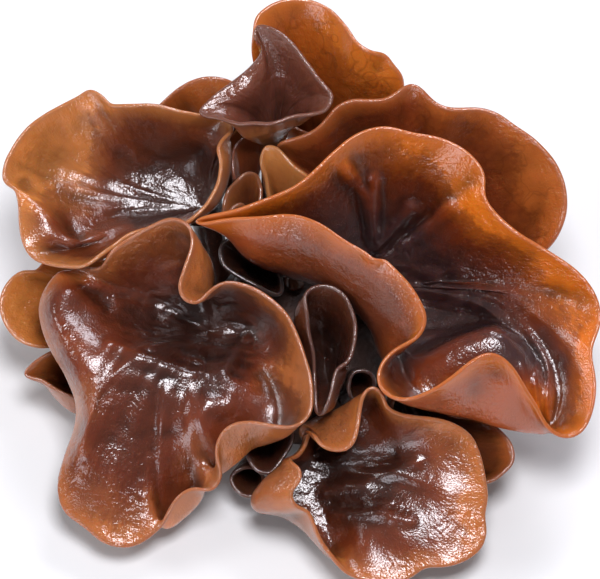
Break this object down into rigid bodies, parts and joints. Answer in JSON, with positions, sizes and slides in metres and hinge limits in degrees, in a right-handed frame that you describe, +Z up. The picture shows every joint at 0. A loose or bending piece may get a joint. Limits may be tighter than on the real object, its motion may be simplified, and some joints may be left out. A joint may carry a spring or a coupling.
{
  "type": "wood ear mushroom",
  "caption": "A fresh clump of wood ear mushroom: thin, wavy, glossy brown ears grown from one shared foot, cut flat underneath to rest on a surface.",
  "frame": {"origin": "on the surface the clump rests on, under the middle of its box", "axes": "+X to the right, +Y to the back and +Z up; the ears open up and towards -Y"},
  "size_m": [0.1313, 0.1161, 0.062],
  "materials": {
    "foot_flesh": "dark brown rough flesh",
    "right_cup_ear_flesh": "wet glossy brown flesh, darker in the hollow and amber towards the thin rim",
    "left_front_ear_flesh": "wet glossy brown flesh, darker in the hollow and amber towards the thin rim",
    "left_upper_ear_flesh": "wet glossy brown flesh, darker in the hollow and amber towards the thin rim",
    "top_ear_flesh": "wet glossy brown flesh, darker in the hollow and amber towards the thin rim",
    "top_fold_ear_flesh": "wet glossy brown flesh, darker in the hollow and amber towards the thin rim",
    "back_right_ear_flesh": "wet glossy brown flesh, darker in the hollow and amber towards the thin rim",
    "front_right_ear_flesh": "wet glossy brown flesh, darker in the hollow and amber towards the thin rim",
    "centre_curl_ear_flesh": "wet glossy brown flesh, darker in the hollow and amber towards the thin rim",
    "right_under_ear_flesh": "wet glossy brown flesh, darker in the hollow and amber towards the thin rim",
    "left_small_ear_flesh": "wet glossy brown flesh, darker in the hollow and amber towards the thin rim",
    "left_tip_ear_flesh": "wet glossy brown flesh, darker in the hollow and amber towards the thin rim",
    "back_small_ear_flesh": "wet glossy brown flesh, darker in the hollow and amber towards the thin rim",
    "centre_tongue_ear_flesh": "wet glossy brown flesh, darker in the hollow and amber towards the thin rim",
    "centre_roll_ear_flesh": "wet glossy brown flesh, darker in the hollow and amber towards the thin rim",
    "centre_back_ear_flesh": "wet glossy brown flesh, darker in the hollow and amber towards the thin rim",
    "centre_dark_ear_flesh": "wet glossy brown flesh, darker in the hollow and amber towards the thin rim",
    "centre_round_ear_flesh": "wet glossy brown flesh, darker in the hollow and amber towards the thin rim",
    "front_small_ear_flesh": "wet glossy brown flesh, darker in the hollow and amber towards the thin rim",
    "front_curl_ear_flesh": "wet glossy brown flesh, darker in the hollow and amber towards the thin rim"
  },
  "bodies": {
    "root": {"foot": "foot_flesh", "right_cup_ear": "right_cup_ear_flesh", "left_front_ear": "left_front_ear_flesh", "left_upper_ear": "left_upper_ear_flesh", "top_ear": "top_ear_flesh", "top_fold_ear": "top_fold_ear_flesh", "back_right_ear": "back_right_ear_flesh", "front_right_ear": "front_right_ear_flesh", "centre_curl_ear": "centre_curl_ear_flesh", "right_under_ear": "right_under_ear_flesh", "left_small_ear": "left_small_ear_flesh", "left_tip_ear": "left_tip_ear_flesh", "back_small_ear": "back_small_ear_flesh", "centre_tongue_ear": "centre_tongue_ear_flesh", "centre_roll_ear": "centre_roll_ear_flesh", "centre_back_ear": "centre_back_ear_flesh", "centre_dark_ear": "centre_dark_ear_flesh", "centre_round_ear": "centre_round_ear_flesh", "front_small_ear": "front_small_ear_flesh", "front_curl_ear": "front_curl_ear_flesh"}
  },
  "joints": []
}
